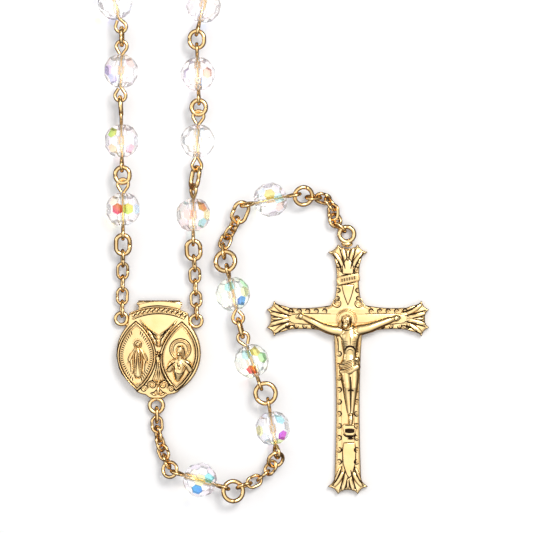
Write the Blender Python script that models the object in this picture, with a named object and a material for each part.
"""Five-decade rosary: faceted crystal beads on eye pins, joined by oval rings and cable chain,
with a hinged locket centre and a crucifix on the pendant.

Everything is drawn in millimetres on a table plane at z = 0, x to the right, y up the strands,
and scaled to metres at the end.
"""
import math

import bpy
from mathutils import Matrix, Vector

# ---------------------------------------------------------------- driving sizes, mm
BEAD_R = 3.0            # round bead, 6 mm
BEAD_FLAT = 2.86        # half length along the bore
BORE_R = 0.52
PIN_R = 0.30            # 0.6 mm eye-pin wire
PIN_REACH = 4.95        # bead centre to the point where a ring hangs in the loop
LOOP_R = 0.95           # centre-line radius of a pin loop
RING_LEN, RING_WID, RING_WIRE = 4.0, 3.3, 0.80      # oval ring between two beads
LINK_LEN, LINK_WID, LINK_WIRE = 3.2, 2.3, 0.55      # cable chain link
PITCH = 12.0            # bead to bead inside a decade
GAP = 21.6              # bead to bead across a large bead's chain
CHAIN_Z = 1.20          # height at which the cable chain lies
EYE_Z = 1.12            # mid height of the locket's three eyes

MEDAL_AT = Vector((0.0, -138.4))    # locket centre's middle in the row frame
CROSS_AT = Vector((33.4, 6.2))      # middle of the crossing, from the locket centre
CROSS_EYE = Vector((33.2, 21.1))
LEFT_EYE, RIGHT_EYE, LOW_EYE = Vector((-6.6, 6.2)), Vector((6.6, 5.8)), Vector((-0.4, -9.15))

MATERIALS = {
    "crystal": (0.93, 0.95, 0.98, 0.45),
    "gold": (0.83, 0.62, 0.27, 1.0),
    "gold_relief": (0.80, 0.58, 0.24, 1.0),
}


# ---------------------------------------------------------------- small helpers
def material(name):
    found = bpy.data.materials.get(name)
    if found is None:
        found = bpy.data.materials.new(name)
        found.use_nodes = True
        shader = found.node_tree.nodes["Principled BSDF"]
        shader.inputs["Base Color"].default_value = MATERIALS[name]
        shader.inputs["Metallic"].default_value = 0.0 if name == "crystal" else 1.0
        shader.inputs["Roughness"].default_value = 0.05 if name == "crystal" else 0.2
        found.diffuse_color = MATERIALS[name]
    return found


def active(name, slot="gold"):
    made = bpy.context.active_object
    made.name = made.data.name = name
    made.data.materials.clear()
    made.data.materials.append(material(slot))
    return made


def place(made, frame):
    made.data.transform(frame)
    return made


def apply_all(made):
    bpy.context.view_layer.objects.active = made
    for mod in list(made.modifiers):
        bpy.ops.object.modifier_apply(modifier=mod.name)
    return made


def combine(target, other, how):
    mod = target.modifiers.new(how.lower(), "BOOLEAN")
    mod.operation = how
    mod.solver = "EXACT"
    mod.object = other
    apply_all(target)
    bpy.data.objects.remove(other)
    return target


def join_all(first, others):
    for other in others:
        combine(first, other, "UNION")
    return first


def mesh_object(name, points, faces, slot="gold"):
    data = bpy.data.meshes.new(name)
    data.from_pydata([tuple(p) for p in points], [], faces)
    data.update()
    made = bpy.data.objects.new(name, data)
    bpy.context.collection.objects.link(made)
    made.data.materials.append(material(slot))
    return made


def flat(vector, z):
    return Vector((vector[0], vector[1], z))


def heading(degrees):
    return Vector((math.cos(math.radians(degrees)), math.sin(math.radians(degrees)), 0))


def piece_frame(start, end, roll):
    """Middle of start-end, x along it, y turned up out of the table by roll degrees."""
    x = (end - start).normalized()
    side = Vector((0, 0, 1)).cross(x).normalized()
    up = x.cross(side)
    a = math.radians(roll)
    y = side * math.cos(a) + up * math.sin(a)
    turn = Matrix((x, y, x.cross(y))).transposed().to_4x4()
    return Matrix.Translation((start + end) / 2) @ turn


# ---------------------------------------------------------------- repeated pieces
def ring(name, frame, length, width, wire, offset=0.0, around=14, section=6):
    """A round wire ring; a longer one is a torus whose halves are drawn apart."""
    bpy.ops.mesh.primitive_torus_add(
        major_radius=(width - wire) / 2, minor_radius=wire / 2,
        major_segments=around, minor_segments=section,
    )
    made = active(name)
    for vertex in made.data.vertices:
        if abs(vertex.co.x) > 1e-4:
            vertex.co.x += math.copysign((length - width) / 2, vertex.co.x)
        vertex.co.y += offset
    return place(made, frame)


def loop_points(reach, side):
    """Half an eye pin, from the bead's middle out and round its teardrop loop."""
    centre = reach + 0.05 + PIN_R - LOOP_R
    points = [Vector((0, 0, 0)), Vector((BEAD_FLAT - 0.1, 0, 0))]
    for step in range(11):
        a = math.radians(128 - step * 25.6)
        points.append(Vector((centre + LOOP_R * math.cos(a), LOOP_R * math.sin(a) * side, 0)))
    points.append(Vector((centre - 1.02, -LOOP_R * 0.62 * side, 0)))
    return points


def wire(name, points, radius, sides=0, radii=None):
    """A round wire along points, as a closed mesh. radii scales it point by point."""
    curve = bpy.data.curves.new(name, "CURVE")
    curve.dimensions = "3D"
    curve.bevel_depth = radius
    curve.bevel_resolution = sides
    curve.use_fill_caps = True
    curve.resolution_u = 1
    curve.render_resolution_u = 0
    spline = curve.splines.new("POLY")
    spline.points.add(len(points) - 1)
    for k, point in enumerate(points):
        spline.points[k].co = (*point, 1)
        spline.points[k].radius = radii[k] if radii else 1.0
    made = bpy.data.objects.new(name, curve)
    bpy.context.collection.objects.link(made)
    bpy.ops.object.select_all(action="DESELECT")
    made.select_set(True)
    bpy.context.view_layer.objects.active = made
    bpy.ops.object.convert(target="MESH")
    made = active(name)
    bpy.ops.object.mode_set(mode="EDIT")
    bpy.ops.mesh.select_all(action="SELECT")
    bpy.ops.mesh.remove_doubles(threshold=1e-4)
    bpy.ops.mesh.normals_make_consistent(inside=False)
    bpy.ops.object.mode_set(mode="OBJECT")
    return made


def eye_pin(name, middle, direction, roll_in, roll_out, reach_in=PIN_REACH, reach_out=PIN_REACH):
    """A wire through one bead with a loop at each end; each loop has its own roll."""
    def half(reach, roll, way):
        a = math.radians(roll)
        turned = []
        for p in loop_points(reach, 1):
            side = Vector((-direction.y, direction.x, 0)) * (p.y * math.cos(a))
            turned.append(middle + direction * (p.x * way) + side + Vector((0, 0, p.y * math.sin(a))))
        return turned
    inward, outward = half(reach_in, roll_in, -1), half(reach_out, roll_out, 1)
    return wire(name, inward[:0:-1] + outward[1:], PIN_R, sides=1)


def bead(name, middle, direction):
    """Round bead with twelve columns of flat facets and a through bore."""
    columns = 12
    profile = [(-BEAD_FLAT, BORE_R), (-BEAD_FLAT, 1.0), (-2.2, 2.06), (-0.85, 2.9),
               (0.85, 2.9), (2.2, 2.06), (BEAD_FLAT, 1.0), (BEAD_FLAT, BORE_R)]
    frame = piece_frame(middle - direction, middle + direction, 0)
    points, faces = [], []
    for along, r in profile:
        for k in range(columns):
            a = 2 * math.pi * (k + 0.5) / columns
            points.append(frame @ Vector((along, r / math.cos(math.pi / columns) * math.cos(a)
                                          if r > 1.5 else r * math.cos(a),
                                          r / math.cos(math.pi / columns) * math.sin(a)
                                          if r > 1.5 else r * math.sin(a))))
    rings = len(profile)
    for i in range(rings):
        for k in range(columns):
            j, m = (i + 1) % rings, (k + 1) % columns
            faces.append((i * columns + k, i * columns + m, j * columns + m, j * columns + k))
    made = mesh_object(name, points, faces, "crystal")
    bpy.context.view_layer.objects.active = made
    bpy.ops.object.mode_set(mode="EDIT")
    bpy.ops.mesh.select_all(action="SELECT")
    bpy.ops.mesh.normals_make_consistent(inside=False)
    bpy.ops.object.mode_set(mode="OBJECT")
    return made


# ---------------------------------------------------------------- chain layout
def smooth(points, count=24):
    """Catmull-Rom curve through points."""
    ends = [points[0] * 2 - points[1]] + points + [points[-1] * 2 - points[-2]]
    out = []
    for i in range(1, len(ends) - 2):
        a, b, c, d = ends[i - 1:i + 3]
        for k in range(count):
            t = k / count
            out.append(0.5 * ((2 * b) + (c - a) * t + (2 * a - 5 * b + 4 * c - d) * t * t
                              + (3 * b - a - 3 * c + d) * t ** 3))
    return out + [points[-1]]


def along(path, distances):
    """Points at the given distances along a polyline."""
    out, travelled, i = [], 0.0, 0
    for want in distances:
        while i < len(path) - 2 and travelled + (path[i + 1] - path[i]).length < want:
            travelled += (path[i + 1] - path[i]).length
            i += 1
        step = (path[i + 1] - path[i]).length or 1e-9
        out.append(path[i].lerp(path[i + 1], min(1.0, (want - travelled) / step)))
    return out


def length_of(path):
    return sum((b - a).length for a, b in zip(path, path[1:]))


def run_heights(count, low_start, low_end):
    """Heights of the joints in a run: from a bead's axis down to the table and up again."""
    heights = []
    for k in range(count + 1):
        from_start = CHAIN_Z if low_start else max(CHAIN_Z, 2.5 - 0.75 * k)
        from_end = CHAIN_Z if low_end else max(CHAIN_Z, 2.5 - 0.75 * (count - k))
        heights.append(max(from_start, from_end))
    return heights


# pendant, from the locket centre to the crucifix, mm from the locket centre
# bead: middle and heading | links: count, path, rolls | ring: length, width, wire, roll, sideways offset
PENDANT = [
    ("links", "upper", [(-0.35, -9.95), (-0.25, -13.2), (0.4, -16.2), (1.3, -18.5), (1.72, -19.75)],
     [82, -14, 62, -52, 24, -74], True, False),
    ("ring", "turn_ring_1", (3.3, 3.3, 0.65), 12, -0.2),
    ("bead", "our_father_1", (7.32, -22.18), -17.3, -84, 78),
    ("ring", "turn_ring_2", (4.35, 4.35, 0.85), -4, -0.62),
    ("links", "lower", [(14.15, -23.45), (17.0, -22.55), (18.9, -21.1), (20.35, -19.3)],
     [76, 4, 88, -30], False, False),
    ("ring", "turn_ring_3", (3.4, 3.4, 0.65), 30, 0.0),
    ("bead", "hail_mary_1", (20.12, -13.05), 99.4, -64, 90),
    ("ring", "middle_ring_1", (4.35, 4.35, 0.8), 2, -0.2),
    ("bead", "hail_mary_2", (16.4, -1.23), 109.6, 88, 4),
    ("ring", "middle_ring_2", (RING_LEN, RING_WID, RING_WIRE), 86, 0.0),
    ("bead", "hail_mary_3", (13.11, 10.55), 102.2, -4, 80),
    ("ring", "turn_ring_4", (4.3, 4.3, 0.85), -6, 0.0),
    ("links", "side", [(11.5, 17.25), (11.5, 19.4), (12.5, 21.3), (13.9, 23.7)],
     [78, -16, 46, -52], False, False),
    ("ring", "turn_ring_5", (4.5, 3.3, 0.7), 20, 0.0),
    ("bead", "our_father_2", (19.75, 27.14), 11.5, -76, 96),
    ("ring", "turn_ring_6", (3.9, 3.9, 0.75), 8, 0.0),
    ("links", "end", [(26.45, 27.5), (28.2, 27.65), (29.7, 27.2), (30.75, 26.1), (30.85, 24.1)],
     [-70, 30, -62, 28], False, True),
    ("ring", "turn_ring_7", (2.9, 2.9, 0.6), -34, 0.1),
    ("ring", "crucifix_ring", (3.0, 2.3, 0.55), 76, 0.0),
]
JUMP = [(31.3, 22.9), (32.62, 21.78)]       # ends of the last two rings


def pendant_stations():
    """Every pendant piece with the two points it turns about: (kind, name, in, out, data)."""
    stations = []
    for item in PENDANT:
        if item[0] == "bead":
            middle, way = flat(item[2], BEAD_R), heading(item[3])
            stations.append(["bead", item[1], middle - way * PIN_REACH, middle + way * PIN_REACH, item])
        elif item[0] == "links":
            path = smooth([Vector(p) for p in item[2]])
            count = len(item[3])
            marks = along(path, [length_of(path) * k / count for k in range(count + 1)])
            heights = run_heights(count, item[4], item[5])
            for k in range(count):
                stations.append(["link", f"{item[1]}_link_{k + 1}", flat(marks[k], heights[k]),
                                 flat(marks[k + 1], heights[k + 1]), item[3][k]])
        else:
            stations.append(["ring", item[1], None, None, item])
    for k, station in enumerate(stations):
        if station[0] == "ring":
            if station[1] == "turn_ring_7":
                station[2], station[3] = stations[k - 1][3], flat(JUMP[0], CHAIN_Z)
            elif station[1] == "crucifix_ring":
                station[2], station[3] = flat(JUMP[0], CHAIN_Z), flat(JUMP[1], CHAIN_Z)
            else:
                station[2], station[3] = stations[k - 1][3], stations[k + 1][2]
    return stations


def build_pendant():
    for kind, name, start, end, data in pendant_stations():
        if kind == "bead":
            middle, way = flat(data[2], BEAD_R), heading(data[3])
            eye_pin(name + "_pin", middle, way, data[4], data[5])
            bead(name + "_bead", middle, way)
        elif kind == "link":
            ring(name, piece_frame(start, end, data), LINK_LEN, LINK_WID, LINK_WIRE, around=12)
        else:
            length, width, wire_d = data[2]
            ring(name, piece_frame(start, end, data[3]), length, width, wire_d, data[4])


# ---------------------------------------------------------------- strands beside the centre
LEFT_STRAND = [(-6.58, 49.8), (-6.49, 37.5), (-6.23, 25.5)]     # bead middles, top to bottom
RIGHT_STRAND = [(6.95, 49.3), (6.9, 37.5), (6.15, 24.5)]
STRANDS = {
    "left": (LEFT_STRAND, (-6.45, 54.75), LEFT_EYE + Vector((0.12, 0.66)), [0, 88, 4, 86]),
    "right": (RIGHT_STRAND, (6.76, 54.23), RIGHT_EYE + Vector((0.12, 0.66)), [88, 2, 60, 88]),
}


def build_strand(side):
    """Three beads with a fused wire of pins and rings, and the fused chain run down to the centre."""
    middles, top, foot, rolls = STRANDS[side]
    middles = [flat(m, BEAD_R) for m in middles]
    top = flat(top, BEAD_R)
    ways = []
    before = top
    for k, middle in enumerate(middles):
        after = middles[k + 1] if k < 2 else flat(foot, BEAD_R)
        ways.append((after - before).normalized() if k else (middle - top).normalized())
        before = middle
    pieces = []
    ends = [(m - w * PIN_REACH, m + w * PIN_REACH) for m, w in zip(middles, ways)]
    for k, (middle, way) in enumerate(zip(middles, ways)):
        pieces.append(eye_pin(f"{side}_strand_wire", middle, way, rolls[k], rolls[k + 1] - 90 if k < 2 else rolls[3]))
        bead(f"{side}_bead_{k + 1}", middle, way)
        if k < 2:
            start, end = ends[k][1], ends[k + 1][0]
            inner = (end - start).length - 0.16
            pieces.append(ring("ring", piece_frame(start, end, rolls[k + 1]), inner + 2 * RING_WIRE,
                               RING_WID, RING_WIRE))
    wire_node = join_all(pieces[0], pieces[1:])
    wire_node.name = f"{side}_strand_wire"

    start = ends[2][1]
    foot = flat(foot, CHAIN_Z)
    first = start + (foot - start) * 0.19
    marks = [start, flat(first, 2.5)] + [flat(start.lerp(foot, 0.19 + 0.81 * k / 5), max(CHAIN_Z, 2.5 - 0.75 * k))
                                         for k in range(1, 6)]
    links = []
    for k, (a, b) in enumerate(zip(marks, marks[1:])):
        # the wire ends at each joint: a fused run overlaps a little where two links bear
        bare = (b - a).length
        if k == 0:
            links.append(ring(f"{side}_chain_run", piece_frame(a, b, rolls[3] - 84), bare + 2 * 0.8 - 0.02, 3.2, 0.8))
        else:
            last = k == len(marks) - 2
            links.append(ring("link", piece_frame(a, b, (80, -12)[k % 2 == 0]), bare + 2 * LINK_WIRE - (0.02 if last else 0.1),
                              LINK_WID, LINK_WIRE, around=12))
    return join_all(links[0], links[1:])


# ---------------------------------------------------------------- rest of the loop
LOOP_TOP = 300.0        # height of the loop's crown above the locket centre
LOOP_BULGE = 193.0


def far_path():
    """The loop beyond the two strands, from the left strand's pivot round to the right one's."""
    left, right = Vector(STRANDS["left"][1]), Vector(STRANDS["right"][1])
    out = []
    for start, way in ((left, -1), (right, 1)):
        ctrl = [start, start + Vector((way * 5.0, 62)), Vector((way * LOOP_BULGE, LOOP_TOP)), Vector((0, LOOP_TOP))]
        half = []
        for k in range(121):
            t = k / 120
            a, b, c, d = (1 - t) ** 3, 3 * t * (1 - t) ** 2, 3 * t * t * (1 - t), t ** 3
            half.append(ctrl[0] * a + ctrl[1] * b + ctrl[2] * c + ctrl[3] * d)
        out.append(half)
    return out[0] + out[1][-2::-1]


def far_beads(path):
    """Distances of the bead middles along the far path, spread to fill it."""
    steps = [2.2 + PIN_REACH] + [PITCH] * 6 + [GAP, GAP]
    for decade in range(3):
        steps += [PITCH] * 9 + [GAP, GAP]
    steps += [PITCH] * 6 + [2.2 + PIN_REACH]
    total = length_of(path)
    grow = (total - sum(steps)) / sum(1 for s in steps if s == GAP)
    marks, at = [], 0.0
    for s in steps[:-1]:
        at += s + (grow if s == GAP else 0)
        marks.append(at)
    return marks


SECTIONS = [("loop_decade_1", 0, 7), ("loop_decade_2", 7, 18), ("loop_decade_3", 18, 29),
            ("loop_decade_4", 29, 41), ("loop_decade_5", 41, 48)]


def build_far_loop():
    path = far_path()
    marks = far_beads(path)
    total = length_of(path)
    swell = [(-2.9, 1.0), (-2.85, 1.3), (-2.2, 2.2), (-0.9, 2.99), (0.9, 2.99), (2.2, 2.2), (2.85, 1.3), (2.9, 1.0)]
    cut = 0.06
    for name, first, last in SECTIONS:
        begin = 2.0 if first == 0 else (marks[first - 1] + marks[first]) / 2 + cut
        end = total - 2.0 if last == len(marks) else (marks[last - 1] + marks[last]) / 2 - cut
        stops, radii = [begin], [1.0]
        for mark in marks[first:last]:
            for off, r in swell:
                stops.append(mark + off)
                radii.append(r / PIN_R if r > 1.0 else 1.0)
        stops.append(end)
        radii.append(1.0)
        points = [flat(p, BEAD_R) for p in along(path, stops)]
        made = wire(name, points, PIN_R, sides=2, radii=radii)
        for edge, near, way in ((0, first == 0, 1), (len(path) - 1, last == len(marks), -1)):
            if near:
                hang = flat(path[edge], BEAD_R)
                inner = flat(path[edge + way * 3], BEAD_R)
                out = hang + (inner - hang).normalized() * 2.3
                roll = 88 if first == 0 else 4
                combine(made, ring("ring", piece_frame(hang, out, roll), 2.4 + 2 * RING_WIRE, RING_WID, RING_WIRE), "UNION")
        made.name = name


# ---------------------------------------------------------------- locket centre
def outline(radius_x, radius_y, low, count=28):
    """Rounded shield: a circle flattened at the crown, with two shoulders at the foot."""
    points = []
    for k in range(count):
        a = 2 * math.pi * k / count
        x, y = radius_x * math.cos(a), radius_y * math.sin(a)
        if y < 0:
            y *= 0.955 - low * abs(math.sin(2 * a))
        points.append((x, min(y, 7.9)))
    return points


def plate(name, points, low, high, slot="gold"):
    count = len(points)
    verts = [(x, y, low) for x, y in points] + [(x, y, high) for x, y in points]
    faces = [tuple(range(count))[::-1], tuple(range(count, 2 * count))]
    faces += [(k, (k + 1) % count, count + (k + 1) % count, count + k) for k in range(count)]
    return mesh_object(name, verts, faces, slot)


def cylinder(name, radius, length, frame, sides=16):
    bpy.ops.mesh.primitive_cylinder_add(vertices=sides, radius=radius, depth=length)
    return place(active(name), frame)


HINGE_Y, HINGE_Z = 8.86, 1.36
BARREL_R, BARREL_BORE, BARREL_PIN = 0.56, 0.29, 0.25


def barrel(name, x0, x1):
    frame = Matrix.Translation(((x0 + x1) / 2, HINGE_Y, HINGE_Z)) @ Matrix.Rotation(math.radians(90), 4, "Y")
    return cylinder(name, BARREL_R, x1 - x0, frame)


def bore(target):
    frame = Matrix.Translation((0, HINGE_Y, HINGE_Z)) @ Matrix.Rotation(math.radians(90), 4, "Y")
    return combine(target, cylinder("bore", BARREL_BORE, 12, frame), "DIFFERENCE")


def block(name, low, high):
    bpy.ops.mesh.primitive_cube_add(size=1)
    made = active(name)
    size = Vector(high) - Vector(low)
    return place(made, Matrix.Translation((Vector(low) + Vector(high)) / 2) @ Matrix.Diagonal((*size, 1)))


def build_centre():
    shape = outline(7.55, 8.05, 0.05)
    back = plate("centre_back", shape, 0.0, 1.30)
    eyes = [(LEFT_EYE, 2.7, 0.62), (RIGHT_EYE, 2.7, 0.62), (LOW_EYE, 3.1, 0.7)]
    for where, outer, wire_d in eyes:
        spot = flat(where, EYE_Z)
        eye = ring("eye", Matrix.Translation(spot), outer, outer, wire_d, around=16)
        inward = Vector((0, -0.35, 0)) - spot
        inward.z = 0
        inward.normalize()
        tab_from = spot + inward * (outer / 2 - 0.35)
        tab = block("tab", (0, -0.55, 0), (1.5, 0.55, 0.7))
        angle = math.atan2(inward.y, inward.x)
        place(tab, Matrix.Translation((tab_from.x, tab_from.y, 0.56)) @ Matrix.Rotation(angle, 4, "Z"))
        join_all(back, [eye, tab])
    for x0, x1 in ((-3.6, -1.35), (1.55, 3.8)):
        knuckle = barrel("knuckle", x0, x1)
        foot = block("foot", (x0, 7.6, 0.2), (x1, 8.75, 1.30))
        join_all(back, [knuckle, foot])
    bore(back)

    cover = plate("centre_cover", [(x * 0.97, y * 0.965) for x, y in shape], 1.36, 2.3)
    panel = plate("panel", [(x * 0.9, y * 0.9 - 0.1) for x, y in shape], 2.0, 2.5)
    knuckle = barrel("knuckle", -1.3, 1.5)
    foot = block("foot", (-1.3, 7.6, 1.5), (1.5, 8.75, 1.85))
    join_all(cover, [panel, knuckle, foot])
    bore(cover)

    frame = Matrix.Translation((0.15, HINGE_Y, HINGE_Z)) @ Matrix.Rotation(math.radians(90), 4, "Y")
    cylinder("centre_hinge_pin", BARREL_PIN, 8.0, frame)


# ---------------------------------------------------------------- crucifix
CROSS_T = 1.25


def arm_end(reach, waist, flare):
    """One flared arm end, drawn pointing along +x, from its lower edge round to its upper edge."""
    return [(reach - 4.2, -waist), (reach - 2.4, -waist - 0.2), (reach - 1.75, -flare),
            (reach - 0.75, -flare * 0.66), (reach, -flare * 0.5), (reach - 0.25, 0.0),
            (reach, flare * 0.5), (reach - 0.75, flare * 0.66), (reach - 1.75, flare),
            (reach - 2.4, waist + 0.2), (reach - 4.2, waist)]


def cross_outline():
    """Right arm, top arm, left arm, foot, going round counter-clockwise."""
    points = []
    for turn, reach, waist, flare, corner in ((0, 14.35, 2.1, 3.15, 2.3), (90, 13.1, 2.2, 3.5, 2.3),
                                              (180, 14.35, 2.1, 3.15, 2.3), (270, 31.0, 2.4, 3.5, 2.3)):
        c, s = math.cos(math.radians(turn)), math.sin(math.radians(turn))
        for x, y in arm_end(reach, waist, flare):
            points.append((x * c - y * s, x * s + y * c))
        a = math.radians(turn + 45)
        points.append((math.copysign(2.55, math.cos(a)), math.copysign(2.35, math.sin(a))))
    return points


def capsule(a, b, ra, rb, sides=8):
    """A limb: a tapered, round-ended bar from a to b."""
    a, b = Vector(a), Vector(b)
    frame = piece_frame(a, b, 0)
    half = (b - a).length / 2
    stops = [(-half - ra * 0.85, ra * 0.35), (-half - ra * 0.4, ra * 0.85), (-half, ra), (half, rb),
             (half + rb * 0.4, rb * 0.85), (half + rb * 0.85, rb * 0.35)]
    points = [frame @ Vector((x, r * math.cos(2 * math.pi * k / sides), r * math.sin(2 * math.pi * k / sides)))
              for x, r in stops for k in range(sides)]
    faces = [tuple(range(sides))[::-1], tuple(range(5 * sides, 6 * sides))]
    for i in range(5):
        faces += [(i * sides + k, i * sides + (k + 1) % sides, (i + 1) * sides + (k + 1) % sides, (i + 1) * sides + k)
                  for k in range(sides)]
    made = mesh_object("limb", points, faces, "gold_relief")
    bpy.context.view_layer.objects.active = made
    bpy.ops.object.mode_set(mode="EDIT")
    bpy.ops.mesh.select_all(action="SELECT")
    bpy.ops.mesh.normals_make_consistent(inside=False)
    bpy.ops.object.mode_set(mode="OBJECT")
    return made


def build_crucifix():
    shift = Matrix.Translation(flat(CROSS_AT, 0))
    cross = plate("crucifix_cross", cross_outline(), 0.0, CROSS_T)
    place(cross, shift)
    eye = ring("eye", Matrix.Translation(flat(CROSS_EYE, 1.2)), 3.4, 3.4, 0.8, around=16)
    scroll = block("scroll", (-2.1, -0.55, 0), (2.1, 0.55, 0.45))
    place(scroll, Matrix.Translation(flat(CROSS_AT + Vector((0.05, 7.0)), CROSS_T - 0.1)) @ Matrix.Rotation(math.radians(12), 4, "Z"))
    foot_rest = block("foot_rest", (-1.1, -20.1, CROSS_T - 0.1), (1.0, -18.9, CROSS_T + 0.9))
    place(foot_rest, shift)
    bpy.ops.mesh.primitive_uv_sphere_add(segments=12, ring_count=8)
    boss = place(active("boss"), shift @ Matrix.Translation((0.2, -24.6, CROSS_T)) @ Matrix.Diagonal((1.0, 3.2, 0.45, 1)))
    neck = block("neck", (-0.9, 12.6, 0.3), (0.7, 13.6, CROSS_T))
    place(neck, shift)
    join_all(cross, [eye, scroll, foot_rest, boss, neck])

    z = CROSS_T + 0.02
    limbs = [capsule((-0.1, -2.8, z + 1.0), (0.2, -6.6, z + 0.85), 0.98, 0.86),        # chest and belly
             capsule((-2.2, -1.9, z + 0.95), (2.0, -1.75, z + 0.95), 0.62, 0.62),      # shoulders
             capsule((-2.3, -1.8, z + 0.9), (-5.4, -0.4, z + 0.72), 0.52, 0.44),       # arms
             capsule((-5.5, -0.4, z + 0.72), (-8.5, 0.5, z + 0.55), 0.42, 0.34),
             capsule((2.1, -1.7, z + 0.9), (5.3, -0.8, z + 0.72), 0.52, 0.44),
             capsule((5.4, -0.8, z + 0.72), (8.45, 0.0, z + 0.55), 0.42, 0.34),
             capsule((-0.35, -0.75, z + 1.35), (-0.25, -0.1, z + 1.35), 0.75, 0.72),   # head
             capsule((-0.15, -1.9, z + 1.1), (-0.3, -1.1, z + 1.25), 0.42, 0.42),      # neck
             capsule((-0.9, -8.0, z + 0.9), (1.3, -7.6, z + 0.9), 0.82, 0.72),         # loincloth
             capsule((-0.2, -7.4, z + 0.9), (0.1, -9.3, z + 0.95), 1.0, 0.95),
             capsule((-0.3, -9.2, z + 1.0), (0.45, -12.2, z + 1.25), 0.72, 0.6),       # thighs
             capsule((0.8, -9.2, z + 0.85), (1.0, -12.2, z + 1.1), 0.62, 0.52),
             capsule((0.5, -12.3, z + 1.2), (0.6, -16.3, z + 0.8), 0.56, 0.38),        # shins and feet
             capsule((1.0, -12.3, z + 1.05), (0.75, -16.3, z + 0.65), 0.48, 0.36),
             capsule((0.6, -16.4, z + 0.8), (0.65, -18.2, z + 0.6), 0.4, 0.36)]
    corpus = join_all(limbs[0], limbs[1:])
    corpus.name = "crucifix_corpus"
    place(corpus, shift)
    trim = block("trim", (-40, -60, -5), (60, 60, z))
    combine(corpus, trim, "DIFFERENCE")


# ---------------------------------------------------------------- build
for leftover in list(bpy.data.objects):
    bpy.data.objects.remove(leftover)

build_centre()
build_pendant()
for side in STRANDS:
    build_strand(side)
build_far_loop()
build_crucifix()

to_row = Matrix.Scale(0.001, 4) @ Matrix.Translation(flat(MEDAL_AT, 0))
for made in bpy.context.collection.objects:
    made.data.transform(to_row)
    made.data.name = made.name
    made.data.update()
